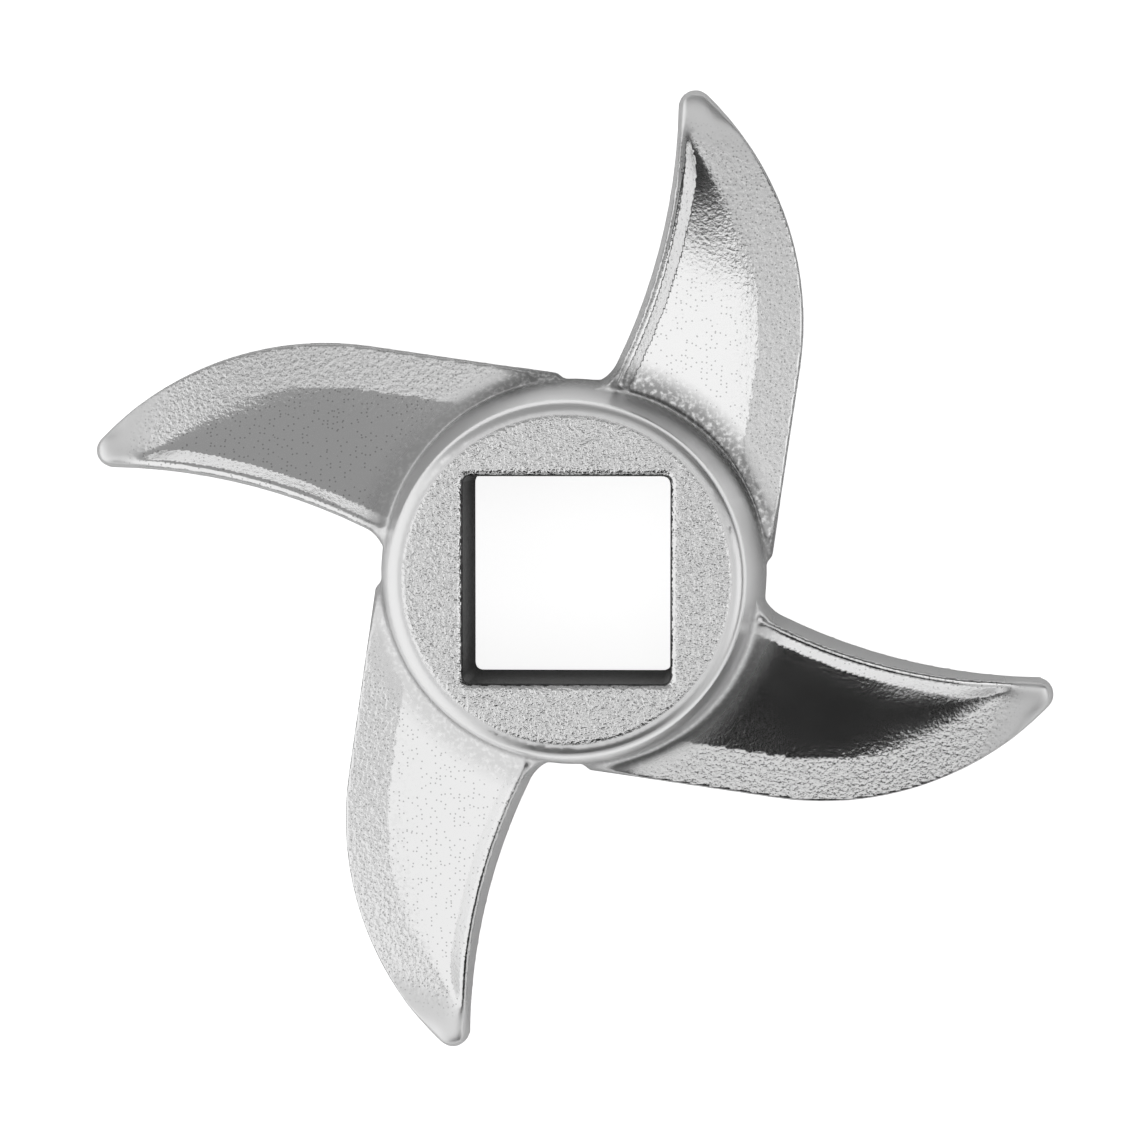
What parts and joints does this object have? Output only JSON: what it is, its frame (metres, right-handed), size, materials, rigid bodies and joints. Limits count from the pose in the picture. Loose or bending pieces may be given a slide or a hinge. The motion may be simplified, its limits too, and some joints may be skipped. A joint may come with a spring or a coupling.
{
  "type": "meat grinder knife",
  "caption": "Cast steel knife of a meat grinder: swept scooped blades round a drafted boss with a square drive hole.",
  "frame": {"origin": "on the turning axis, in the plane of the cutting side that lies on the grinder plate", "axes": "+Z along the turning axis, out of the boss towards the feed screw; the first blade reaches towards +Y; X and Y are square to the sides of the drive hole"},
  "size_m": [0.0612, 0.0612, 0.012],
  "materials": {
    "cast_steel": "satin"
  },
  "bodies": {
    "root": {"knife": "cast_steel"}
  },
  "joints": []
}
